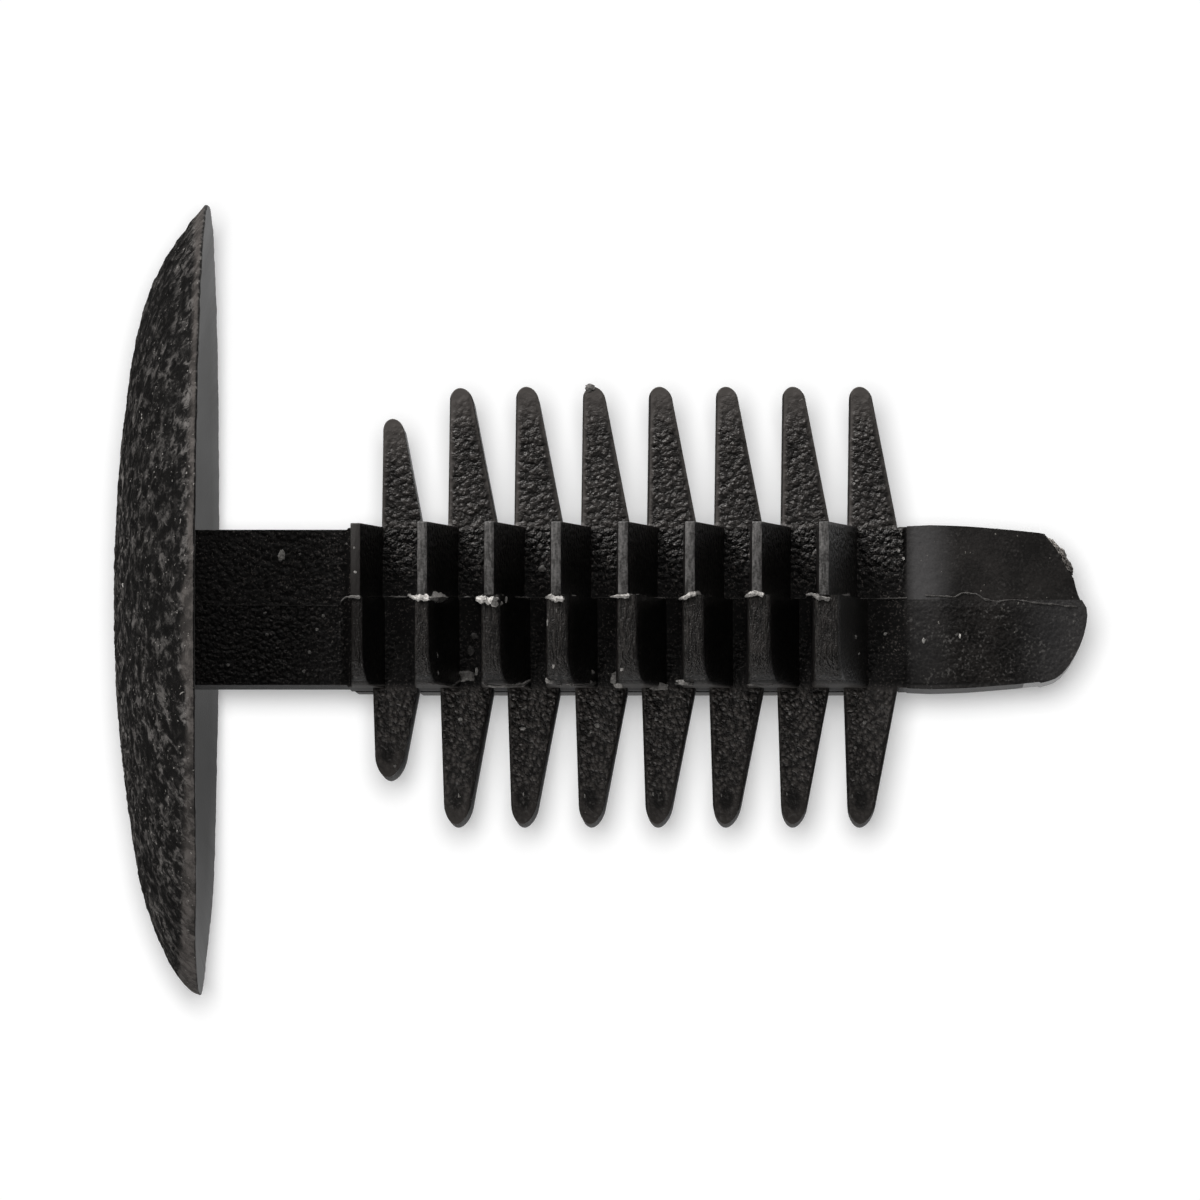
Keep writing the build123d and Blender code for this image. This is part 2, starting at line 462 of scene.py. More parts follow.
def spark_grain(name, first_root, step, root, flat_lean, slope_lean, first_reach, full_reach, core, nose_end,
                blade, margin, margin_width, blade_depth, grip_depth, valley_depth, nose_depth, pebble,
                nose_highlight, hollow_shades, specks, plain):
    """Black plastic from a spark-eroded mould face: pebbled on the blades, apart from a smooth
    margin round each, and finer elsewhere. The first seven values are those of the row of blades.
    core, nose_end and blade are pairs of a dark and a light tone, and margin is one tone. The light
    tone of the core is that of painted glints, and on the blades the tops of the pebbles take the light
    tone and the gaps the dark one, as painted light and shade. The depths are those of the grain. The
    three shares before plain are those of the painted highlight at the start of the nose, of the painted
    shade of dark hollows in the tips and of the worn specks. plain is 1 in the plain half."""
    made, spot = new_material(name)
    core_dark, core_glint_tone = (plastic(tone) for tone in core)
    nose_dark, nose_light = (plastic(tone) for tone in nose_end)
    blade_dark, blade_light = (plastic(tone) for tone in blade)
    x, y, z = parts_of(spot)
    out = abs(x) - blade_out / mm
    from_flat = (z - out * flat_lean - (first_root - step)) % step
    from_slope = (root - out * (flat_lean + slope_lean)) - from_flat
    reach = (z > 9.9) * (full_reach - first_reach) + first_reach
    to_tip = reach - abs(x)
    wander = (clouds(spot, 0.35, 2) - 0.5) * 0.16
    edge = from_flat.upto(from_slope)
    inside = edge.upto(to_tip * 0.36) + wander
    nose = z.step(25.3, 25.45)
    on_cheek = abs(x).step(2.45, 2.75) * (abs(y) > 2.25) * (1 - nose)
    fading = 0.3 + to_tip.step(0.3, 1.7) * 0.7
    grained = inside.step(margin_width * 0.2, margin_width * 1.6) * on_cheek * fading
    border = (1 - edge.step(0.02, 0.055)) * on_cheek
    lit = 1 - (abs(x).step(0.2, 2.4) * 0.85 + 0.15)
    valley = z.step(7.5, 7.9) * (1 - nose) * (1 - on_cheek)
    grip = 1 - z.step(7.3, 7.6)
    pebbles = pebbled(spot, pebble)
    grains = clouds(spot, 0.07, 2, 0.6)
    fine = clouds(spot, 0.05, 1)
    patches = clouds(spot, 1.3, 3)

    # the tones of core, nose and blades, and of the margins
    # painted glints: the fine light specks on the core stand in for the glints of its grain
    core_tone = (grains.step(0.56, 0.68) * (0.3 + patches)).between(core_dark, core_glint_tone)
    nose_tone = (grains * 0.55 + patches * 0.6).step(0.45, 0.7).between(nose_dark, nose_light)
    # painted light and shade: the tops of the pebbles are painted lighter and the gaps between them darker
    blade_tone = pebbles.step(0.38, 0.78).between(blade_dark, blade_light)
    tone = on_cheek.between(nose.between(core_tone, nose_tone), blade_tone)
    smooth = on_cheek * (1 - grained)
    matt = smooth.between(tone, plastic(margin))
    bordered = (border * 0.8).between(matt, core_dark)

    # painted highlights at the start of the nose and at its end, painted shade of hollows in the tips, and
    # painted shade of a slit
    # painted highlight: the start of the nose and the end of the plain half are painted brighter
    start_highlight = z.step(25.3, 25.75) * (1 - z.step(25.9, 27.2)) * nose_highlight
    painted_highlight = start_highlight + z.step(28.4, 30.6) * plain * 0.5
    highlighted = (painted_highlight * (0.6 + grains * 0.6)).between(bordered, (0.058, 0.058, 0.06, 1))
    # painted shade: a dark oval is painted near each tip of the plain half, as the shade of a hollow there
    hollow_x = (abs(x) - reach + 0.82) / 0.40
    hollow_z = (from_flat - 0.40) / 0.25
    hollow_shade = (1 - (hollow_x * hollow_x + hollow_z * hollow_z).step(0.3, 1.3)) * on_cheek * hollow_shades
    hollow_shaded = hollow_shade.between(highlighted, core_dark)
    # painted shade: a near-black line is painted along the near lower edge of the nose in the plain half, as
    # the shade inside a slit
    slit_shade = z.step(25.4, 25.5) * (1 - z.step(28.3, 28.5)) * x.step(2.40, 2.44) * (1 - x.step(2.48, 2.52)) * plain
    slit_shaded = (slit_shade * (y < -2)).between(hollow_shaded, plastic(0.0008))

    # worn specks in clusters, and dust
    clusters = clouds(spot, 0.085, 1).step(0.54, 0.72) * (clouds(spot, 0.8, 2).step(0.42, 0.6) * 0.85 + 0.15)
    wear_and_highlight = clusters * on_cheek.atleast(nose) * specks
    speckled = (wear_and_highlight * 0.7).between(slit_shaded, (0.085, 0.084, 0.082, 1))
    dust = (clouds(spot, 0.12, 1) > 0.775) * (patches > 0.48)
    colour = (dust * 0.7).between(speckled, (0.2, 0.195, 0.18, 1))

    under = (x > 2.44) * (1 - on_cheek) * plain
    glossier = nose * (x > 0) * 0.12 - nose * 0.04
    rough = 0.38 + patches * 0.1 + smooth * 0.15 - glossier + under * 0.25
    depth = grained * blade_depth + valley * (1 - lit) * valley_depth + grip * grip_depth + nose * nose_depth
    return finish_material(made, spot, colour, rough, (pebbles + fine * 0.25) * depth, 1.0, 0.36)


gate_face = spark_grain(
    "gate_face", first_root=8.61, step=2.135, root=1.60, flat_lean=0.013, slope_lean=0.194, first_reach=6.03,
    full_reach=7.08, core=(0.0004, 0.09), nose_end=(0.003, 0.012), blade=(0.006, 0.034), margin=0.056,
    margin_width=0.12, blade_depth=0.105, grip_depth=0.05, valley_depth=0.13, nose_depth=0.012,
    pebble=0.185, nose_highlight=1.0, hollow_shades=0.0, specks=0.3, plain=0.0)
plain_face = spark_grain(
    "plain_face", first_root=8.34, step=2.160, root=1.68, flat_lean=0.03, slope_lean=0.192, first_reach=5.45,
    full_reach=6.95, core=(0.0004, 0.07), nose_end=(0.0005, 0.011), blade=(0.007, 0.072), margin=0.044,
    margin_width=0.06, blade_depth=0.09, grip_depth=0.07, valley_depth=0.05, nose_depth=0.03,
    pebble=0.15, nose_highlight=0.3, hollow_shades=0.85, specks=1.0, plain=1.0)


def pen_line(points):
    """Draws a closed outline of (x, z) points in the XZ plane and fills it."""
    piece = draw_line(points)
    bpy.ops.mesh.edge_face_add()
    return piece


def thicken(piece, depth):
    """Extrudes a filled outline to this depth on both sides of its plane."""
    bpy.ops.mesh.select_all(action="SELECT")
    bpy.ops.transform.translate(value=(0, -depth, 0))
    bpy.ops.mesh.extrude_region_move(TRANSFORM_OT_translate={"value": (0, 2 * depth, 0)})
    face_outwards()


def round_edges(piece, test, radius, segments):
    """Bevels the edges whose two ends pass a test."""
    bpy.ops.object.mode_set(mode="EDIT")
    bpy.ops.mesh.select_mode(type="EDGE")
    bpy.ops.mesh.select_all(action="DESELECT")
    bpy.ops.object.mode_set(mode="OBJECT")
    for edge in piece.data.edges:
        edge.select = test(*(piece.data.vertices[n].co for n in edge.vertices))
    bpy.ops.object.mode_set(mode="EDIT")
    bpy.ops.mesh.bevel(offset=radius, segments=segments, profile=0.5, affect="EDGES", clamp_overlap=True)
    bpy.ops.object.mode_set(mode="OBJECT")


def level_shading(piece):
    """Keeps the large faces flat where they run into small rounded ones."""
    activate(piece)
    level = piece.modifiers.new("level", "WEIGHTED_NORMAL")
    level.keep_sharp = True
    bpy.ops.object.modifier_apply(modifier=level.name)


def blade_outline(side, reach, low, root, flat_lean, slope_lean, pointed):
    """The section of one cross blade, from its root below round the tip to its root above. The
    tip is half an ellipse, longer than it is wide where it is pointed."""
    points = [(blade_out, low)]
    steps = 14
    half = (root - (reach - blade_out) * (flat_lean + slope_lean)) / 2
    start = reach - half * pointed - blade_out
    for n in range(steps + 1):
        angle = -pi / 2 + pi * n / steps
        length = start + half * pointed * cos(angle)
        below = low + length * flat_lean
        above = low + root - length * slope_lean
        share = (1 + sin(angle)) / 2
        points.append((blade_out + length, below + (above - below) * share))
    points.append((blade_out, low + root))
    return [(side * x, z) for x, z in points]


def comb(side, blades, flat_lean, pointed):
    """The outline of one half of the core with its blades."""
    step_low, step_high = grip_step
    outline = [(grip_parting, shank_start), (side * grip_out, shank_start), (side * grip_out, flare[0]),
               (side * blade_out, flare[1])]
    for low, root, reach, lean in blades:
        outline += blade_outline(side, reach * mm, low * mm, root * mm, flat_lean, lean, pointed)
    return outline + [(side * neck_out, neck_start), (side * neck_out, core_end), (gate_bottom, core_end),
                      (gate_bottom, step_high), (grip_parting, step_low)]


def outer_edge(a, b):
    """Whether an edge between two points follows the outline, and doesn't run into the parting."""
    inner = 0.3 * mm
    follows = a.y * b.y > 0 and abs(a.y - b.y) < 0.2 * mm and max(abs(a.x), abs(b.x)) > inner
    into_parting = abs(a.z - b.z) < 1e-6 and min(abs(a.x), abs(b.x)) < inner
    return follows and not into_parting


# each blade as the photo shows it: start and thickness of its root, reach, and lean of its slope
gate_blades = [
    (8.63, 1.30, 6.05, 0.190), (10.75, 1.59, 7.04, 0.194), (12.87, 1.575, 7.08, 0.193),
    (15.01, 1.58, 7.08, 0.194), (17.12, 1.61, 7.08, 0.194), (19.27, 1.57, 7.08, 0.195),
    (21.395, 1.60, 7.08, 0.194), (23.535, 1.61, 7.08, 0.196)]
plain_blades = [
    (8.345, 1.43, 5.45, 0.190), (10.50, 1.675, 6.95, 0.181), (12.65, 1.67, 6.95, 0.190),
    (14.815, 1.67, 6.95, 0.191), (16.95, 1.71, 6.95, 0.196), (19.11, 1.75, 6.95, 0.197),
    (21.29, 1.67, 6.95, 0.189), (23.42, 1.735, 6.95, 0.191)]

for side, name, material, blades, flat_lean, pointed in (
    (-1, "core_gate_half", gate_face, gate_blades, 0.013, 1.15),
    (1, "core_plain_half", plain_face, plain_blades, 0.032, 1.75),
):
    core = pen_line(comb(side, blades, flat_lean, pointed))
    thicken(core, core_half)
    for vertex in core.data.vertices:
        narrow = draft * abs(vertex.co.x - gate_bottom)
        vertex.co.y -= narrow if vertex.co.y > 0 else -narrow
    round_edges(core, outer_edge, edge_break, 2)
    level_shading(finish_piece(core, name, material))


# Side blades
# Two more rows stand towards the camera and away from it, across the parting plane and half a
# pitch nearer the head. The gate half left thin sharp tips and the plain half thick round ones.

blade_count = 8
pitch = 2.13 * mm
first_side = 7.63 * mm
side_roots = [first_side + k * pitch for k in range(blade_count + 1)]
side_reach = 7.0 * mm
side_reaches = [5.7 * mm] + [side_reach] * (blade_count - 1)
side_out = 2.58 * mm
side_flat = tan(radians(1.2))
side_slope = tan(radians(11.4))
# the blades start inside the core, and their end corners are rounder in the plain half
side_sunk = 0.3 * mm
plain_corner = 1.2 * mm
gate_corner = 0.06 * mm
plain_shorter = 0.03 * mm
gate_side_tip = 0.31 * mm
# the thickness of each tip in the plain half, and how far it stands off the gate half's
plain_tips = [0.36, 0.44, 0.58, 0.66, 0.62, 0.64, 0.70, 0.80]
plain_shift = [0.03, -0.08, -0.08, -0.14, -0.02, -0.05, -0.11, -0.15]


def half_side_blade(face, side, reach, low, tip):
    """The part of a side blade that one mould half made. face is -1 towards the camera."""
    start = core_half - side_sunk
    corner, steps = (plain_corner, 9) if side > 0 else (gate_corner, 2)
    outline = [(gate_bottom, start), (gate_bottom, reach)]
    for n in range(steps + 1):
        angle = pi / 2 * (1 - n / steps)
        outline.append((side * (side_out - corner + corner * cos(angle)), reach - corner + corner * sin(angle)))
    outline.append((side * side_out, start))
    # drawn flat in XZ, then turned up so that its height becomes the reach along Y
    piece = pen_line(outline)
    thicken(piece, 0.5 * mm)
    for vertex in piece.data.vertices:
        x, upper, out = vertex.co.x, vertex.co.y > 0, vertex.co.z
        from_root = out - core_half
        height = low + side_flat * from_root
        if upper:
            height = low + tip + (side_flat + side_slope) * (reach - core_half) - side_slope * from_root
        vertex.co = (x, face * out, height)
    activate(piece)
    bpy.ops.object.mode_set(mode="EDIT")
    face_outwards()

    def rim_edge(a, b):
        """Whether an edge goes round one face of the blade, outside the core and the parting."""
        past_parting = max(abs(a.x - gate_bottom), abs(b.x - gate_bottom)) > 1e-6
        outside = max(abs(a.y), abs(b.y)) > start + 1e-6
        return past_parting and outside and abs(a.z - b.z) < 0.35 * (tip + abs(abs(a.y) - abs(b.y)))

    radius, segments = (tip * 0.16, 3) if side > 0 else (0.03 * mm, 2)
    round_edges(piece, rim_edge, radius, segments)
    return piece


def polished(name, dark, light, first, streak, gloss):
    """The tips of the blades, which the mould left smooth or drew into fine streaks along X.
    The tip of the first blade is painted darker, as the painted shadow of the head on it."""
    made, spot = new_material(name)
    x, y, z = parts_of(spot)
    patches = clouds(spot, 0.9, 3)
    streaks = clouds(spot, 0.09, 2, 0.6, stretch=(0.22, 1, 1))
    fine = clouds(spot, 0.05, 1)
    grit = clouds(spot, 0.065, 1).step(0.35, 0.7)
    share = streaks.step(0.42, 0.6) * 0.5 + patches.step(0.35, 0.65) * 0.2 + grit * 0.5 - 0.1
    # painted shadow: below about 9 mm the first tip takes its own darker tone, as the head's shadow
    colour = z.step(8.4, 9.2).between(first, share.between(dark, light))
    return finish_material(made, spot, colour, 0.42 + patches * 0.1, streaks + fine * 0.3, streak, gloss)


# the third tone of each is the painted shadow of the head on the first tip
gate_polish = polished("gate_polish", (0.012, 0.0118, 0.0115, 1), (0.098, 0.0975, 0.097, 1), plastic(0.016),
                       streak=0.02, gloss=0.5)
plain_polish = polished("plain_polish", plastic(0.0005), plastic(0.022), plastic(0.011),
                        streak=0.09, gloss=0.3)


def joined(pieces):
    """Joins pieces into the first of them."""
    activate(pieces[0])
    for piece in pieces:
        piece.select_set(True)
    bpy.ops.object.join()
    return pieces[0]


# faces first and tips after them, the gate half's before the plain half's
side_skins = (gate_face, plain_face, gate_polish, plain_polish)
for face, name in ((-1, "side_blades_near"), (1, "side_blades_far")):
    row = []
    for low, reach, tip, shift in zip(side_roots, side_reaches, plain_tips, plain_shift):
        row.append(half_side_blade(face, -1, reach, low, gate_side_tip))
        row.append(half_side_blade(face, 1, reach - plain_shorter, low + shift * mm, tip * mm))
    for n, piece in enumerate(row):
        furthest = max(abs(v.co.y) for v in piece.data.vertices)
        for material in side_skins:
            piece.data.materials.append(material)
        for polygon in piece.data.polygons:
            on_tip = polygon.normal.y * face > 0.3 and abs(polygon.center.y) > furthest - 0.5 * mm
            polygon.material_index = n % 2 + (2 if on_tip else 0)
    blades = joined(row)
    indices = [polygon.material_index for polygon in blades.data.polygons]
    finish_piece(blades, name, *side_skins)
    for polygon, index in zip(blades.data.polygons, indices):
        polygon.material_index = index
    level_shading(blades)


# Nose
# The blunt end that finds the hole: a block with barrelled sides. The plain half ends in an
# arch, and the gate half lower and aslant, where the runner that filled the mould broke off.

# half of the width and of the depth along the height, and the ends of both outlines
nose_flanks = [(25.2, 2.58), (25.6, 2.604), (26.2, 2.63), (26.8, 2.614), (27.4, 2.59), (28.1, 2.536),
               (28.9, 2.47), (29.67, 2.39), (30.2, 2.30), (31.4, 2.10)]
gate_end = [(-2.36, 29.85), (-2.14, 30.02), (-1.92, 30.2), (-1.62, 30.38), (-1.32, 30.52), (-1.1, 30.68),
            (-0.95, 30.78), (-0.6, 30.87), (-0.4, 30.93), (-0.25, 31.0)]
plain_end = [(-0.25, 31.05), (0.0, 31.2), (0.26, 31.23), (0.58, 31.19), (0.9, 31.11), (1.22, 30.99),
             (1.54, 30.83), (1.87, 30.63), (2.12, 30.42), (2.28, 30.2), (2.36, 29.98), (2.42, 29.75)]
nose_root = 2.598
nose_draft = draft * 0.6
nose_cuts = (25.9, 26.5, 27.1, 27.7, 28.3, 28.9, 29.5, 30.0, 30.4, 30.8)
nose_rows = (-1.6, -0.6, 0.6, 1.6)


def nose_block(outline):
    """One half of the nose, from its outline, with barrelled faces near and far."""
    piece = pen_line([(x * mm, z * mm) for x, z in outline])
    thicken(piece, core_half)
    bpy.ops.object.mode_set(mode="EDIT")
    cuts = [((0, 0, height * mm), (0, 0, 1)) for height in nose_cuts]
    cuts += [((0, depth * mm, 0), (0, 1, 0)) for depth in nose_rows]
    for place, direction in cuts:
        bpy.ops.mesh.select_all(action="SELECT")
        bpy.ops.mesh.bisect(plane_co=place, plane_no=direction)
    bpy.ops.object.mode_set(mode="OBJECT")
    for vertex in piece.data.vertices:
        x, y, z = vertex.co
        half = along(nose_flanks, z / mm) * mm - nose_draft * abs(x - gate_bottom)
        vertex.co.y = y / core_half * half
    return piece


nose_base = (gate_bottom / mm, nose_start / mm)
flank = [(nose_start / mm, nose_root)] + nose_flanks[1:8]
gate_outline = [nose_base] + [(-half, z) for z, half in flank] + gate_end
plain_outline = [nose_base] + plain_end + [(half, z) for z, half in reversed(flank)]
for name, outline, material in (
    ("nose_gate", gate_outline, gate_face),
    ("nose_plain", plain_outline, plain_face),
):
    level_shading(finish_piece(nose_block(outline), name, material))


# Seam
# Where the two halves of the mould met, some plastic crept between them. It left a hair line
# round the plug, and over the tips of the side blades pale, torn beads.

seam_step = 0.05
seam_hair = 0.012
seam_start = 3.0
seam_end = 30.95
bolder_marks = 1.25
# how far a thing seems moved for each millimetre that it stands out towards the camera
seen_from_below = 0.035
seen_from_nose = 0.011
# along the near side: height, place across the line of sight, and half of the thickness
seam_marks = [
    [(7.26, -0.29, 0.02), (7.42, -0.42, 0.03), (7.62, -0.42, 0.03), (7.87, -0.39, 0.03)],
    [(9.42, -0.48, 0.03), (9.64, -0.42, 0.06), (9.90, -0.39, 0.08), (10.16, -0.39, 0.08), (10.35, -0.42, 0.14),
     (10.67, -0.39, 0.03)],
    [(11.60, -0.35, 0.06), (11.79, -0.32, 0.14), (12.05, -0.35, 0.11), (12.24, -0.26, 0.14),
     (12.47, -0.32, 0.11), (12.66, -0.39, 0.05)],
    [(13.82, -0.39, 0.03), (14.04, -0.42, 0.06), (14.30, -0.35, 0.08), (14.56, -0.35, 0.07),
     (14.85, -0.45, 0.03)],
    [(15.91, -0.42, 0.02), (16.17, -0.45, 0.05), (16.49, -0.45, 0.05), (16.88, -0.42, 0.05),
     (17.13, -0.42, 0.02)],
    [(18.13, -0.35, 0.03), (18.29, -0.39, 0.05), (18.48, -0.50, 0.06), (18.71, -0.51, 0.06),
     (18.90, -0.39, 0.05), (19.19, -0.42, 0.03)],
    [(20.25, -0.42, 0.03), (20.44, -0.51, 0.06), (20.67, -0.55, 0.05), (20.83, -0.45, 0.06),
     (21.06, -0.35, 0.05), (21.28, -0.39, 0.03)],
    [(22.21, -0.48, 0.03), (22.41, -0.51, 0.06), (22.60, -0.42, 0.06), (22.82, -0.35, 0.06),
     (23.11, -0.32, 0.06), (23.37, -0.42, 0.05), (23.63, -0.51, 0.03)],
]
# thinner smears between them: where each starts and ends, and half of its thickness
seam_smudges = [(8.7, 9.5, 0.035), (11.15, 11.5, 0.04), (12.7, 13.4, 0.035), (17.2, 17.8, 0.03),
                (23.86, 24.1, 0.04), (27.0, 28.0, 0.035), (28.2, 29.0, 0.025)]
# the place of the hair line where nothing thick stands on it, from the grip over the nose
seam_line = [(3.0, -0.16), (7.19, -0.14), (7.42, -0.42), (8.5, -0.42), (24.5, -0.35), (25.5, -0.39),
             (25.95, -0.48), (27.0, -0.42), (27.25, -0.55), (27.7, -0.52), (27.95, -0.35), (28.42, -0.26),
             (28.7, -0.33), (28.95, -0.34), (29.5, -0.24), (30.9, -0.10)]


def beaded_line(points, whiteness):
    """A tube along a line of (place, half thickness), made from a curve and roughened."""
    data = bpy.data.curves.new("line", "CURVE")
    data.dimensions = "3D"
    data.bevel_depth = mm
    data.bevel_resolution = 2
    data.use_fill_caps = True
    spline = data.splines.new("POLY")
    spline.points.add(len(points) - 1)
    for point, (place, thick) in zip(spline.points, points):
        point.co = (*place, 1)
        point.radius = thick / mm
    made = bpy.data.objects.new("line", data)
    bpy.context.scene.collection.objects.link(made)
    activate(made)
    bpy.ops.object.convert(target="MESH")
    made = bpy.context.object
    pale = made.data.attributes.new("pale", "FLOAT", "POINT")
    for vertex in made.data.vertices:
        place, thick = min(points, key=lambda item: (item[0] - vertex.co).length_squared)
        rough = noise.noise(vertex.co / mm * 6) + 0.7 * noise.noise(vertex.co / mm * 14)
        vertex.co += (vertex.co - place) * rough * 0.9
        # a hair stays black, and what is thick and torn is white
        torn_share = (0.25 + 0.75 * ease(thick / mm, 0.03, 0.06)) * ease(thick / mm, 0.01, 0.02)
        pale.data[vertex.index].value = torn_share * whiteness
    return made


def shift_along(z, stand):
    """How far towards the nose a thing seems moved that stands this far out at this height."""
    return (z - picture_centre.z / mm) * stand * mm / view_distance - stand * seen_from_nose


def as_seen(z, stand):
    """The height at which the camera sees a thing that stands this far out on the near side."""
    return z + shift_along(z, stand)


def as_placed(z, stand):
    """The height of a thing that stands this far out and is seen at this height."""
    return z - shift_along(z, stand)


def seam_section(z):
    """How far the near side stands out along the seam at this height, in millimetres."""
    if z < first_side / mm or z > nose_start / mm:
        return core_half / mm if z < 26 else along(nose_flanks, z)
    k = min(int((z * mm - first_side) / pitch), blade_count - 1)
    up = z - side_roots[k] / mm
    length = (side_reaches[k] - core_half) / mm
    top = gate_side_tip / mm + (side_flat + side_slope) * length
    return core_half / mm + min(length, max(0, (top - up) / side_slope))


def seam_mark(z):
    """The place across and the half thickness of the seam's line at this height."""
    for marks in seam_marks:
        if marks[0][0] <= z <= marks[-1][0]:
            for (z0, x0, r0), (z1, x1, r1) in zip(marks, marks[1:]):
                if z <= z1:
                    share = (z - z0) / (z1 - z0)
                    return x0 + (x1 - x0) * share, (r0 + (r1 - r0) * share) * bolder_marks
    thick = seam_hair if z < 24.5 else seam_hair * 2
    for low, high, smudge in seam_smudges:
        if low < z < high:
            thick = max(thick, smudge * sin(pi * (z - low) / (high - low)))
    return along(seam_line, z), thick


def torn_plastic():
    """Crept and torn plastic, whitened where it was stretched thin."""
    made, spot = new_material("torn_plastic")
    pale = spot.node("ShaderNodeAttribute", {"attribute_name": "pale"}, out=2)
    grit = clouds(spot, 0.07, 2, 0.6)
    whitened = (pale * (0.5 + grit.step(0.35, 0.6) * 0.5)).between(plastic(0.012), (0.52, 0.515, 0.50, 1))
    return finish_material(made, spot, whitened, 0.5 + grit * 0.2, grit, 0.03, 0.4)


def beads(name, lines):
    """Joins roughened tubes into one piece. Each line has its points and its whiteness."""
    return finish_piece(joined([beaded_line(*line) for line in lines]), name, torn)


def climb(low, high):
    """The heights from low to high, in millimetres, at which the seam has a point."""
    z = low
    while z < high - 0.01:
        yield z
        z += seam_step


torn = torn_plastic()
# one stretch over the grip, and one over each side blade and the valley that follows it
stretches = [(-1, seam_start, first_side / mm)]
stretches += [(k, side_roots[k] / mm, side_roots[k + 1] / mm) for k in range(blade_count)]
near_lines = []
for k, low, high in stretches:
    last = k == blade_count - 1
    whiteness = 0.3 if last else 0.7 if k > 2 else 1.0
    points = []
    for z in climb(low, seam_end if last else high):
        stand = seam_section(z)
        x, thick = seam_mark(as_seen(z, stand))
        x += seen_from_below * stand + 0.015 * noise.noise(Vector((z * 2.2, 0, 3)))
        points.append((Vector((x, -stand, z)) * mm, thick * mm))
    near_lines.append((points, whiteness))
    if k < 0:
        continue
    # what hangs over the flat face of a blade towards the head
    marks = [mark for mark in seam_marks[k] if as_placed(mark[0], side_reach / mm) < low + 0.15]
    stand = seam_section(low + 0.05)
    if len(marks) > 1 and as_placed(marks[0][0], side_reach / mm) < low:
        lead = [(Vector((x + seen_from_below * stand, -stand + 0.06, as_placed(z, stand))) * mm, thick * mm)
                for z, x, thick in marks]
        near_lines.append((lead, whiteness))
beads("seam_near", near_lines)

far_lines = []
for k, low, high in stretches:
    points = []
    for z in climb(low, nose_start / mm if k == blade_count - 1 else high):
        stand = seam_section(z)
        lump = 0.05 * max(0, noise.noise(Vector((z * 1.9, 5, 0)))) if stand > 4 else 0
        x = gate_bottom if z > 7.4 else grip_parting
        points.append((Vector((x, stand * mm, z * mm)), (seam_hair + lump) * mm))
    far_lines.append((points, 1.0))
beads("seam_far", far_lines)


# Burrs and chips
# Along the lower edge of the core the plain half left a wavy burr, and here and there chips of
# whitened plastic and grains of dirt sit on the faces.

# height, place across the line of sight, and half of the thickness, as seen
burr_lines = [
    [(10.06, 2.31, 0.03), (10.38, 2.35, 0.035), (10.82, 2.44, 0.03), (11.02, 2.31, 0.04), (11.35, 2.19, 0.05)],
    [(11.82, 2.31, 0.03), (11.99, 2.41, 0.045), (12.75, 2.41, 0.045), (13.11, 2.38, 0.06), (13.34, 2.25, 0.04)],
    [(14.20, 2.41, 0.03), (14.56, 2.35, 0.045), (14.84, 2.41, 0.04), (15.43, 2.35, 0.035)],
    [(8.0, 2.38, 0.02), (8.7, 2.41, 0.02)],
    [(18.0, 2.35, 0.03), (18.45, 2.40, 0.03), (18.75, 2.36, 0.02)],
    [(20.3, 2.38, 0.02), (20.7, 2.40, 0.03), (21.2, 2.38, 0.02)],
]
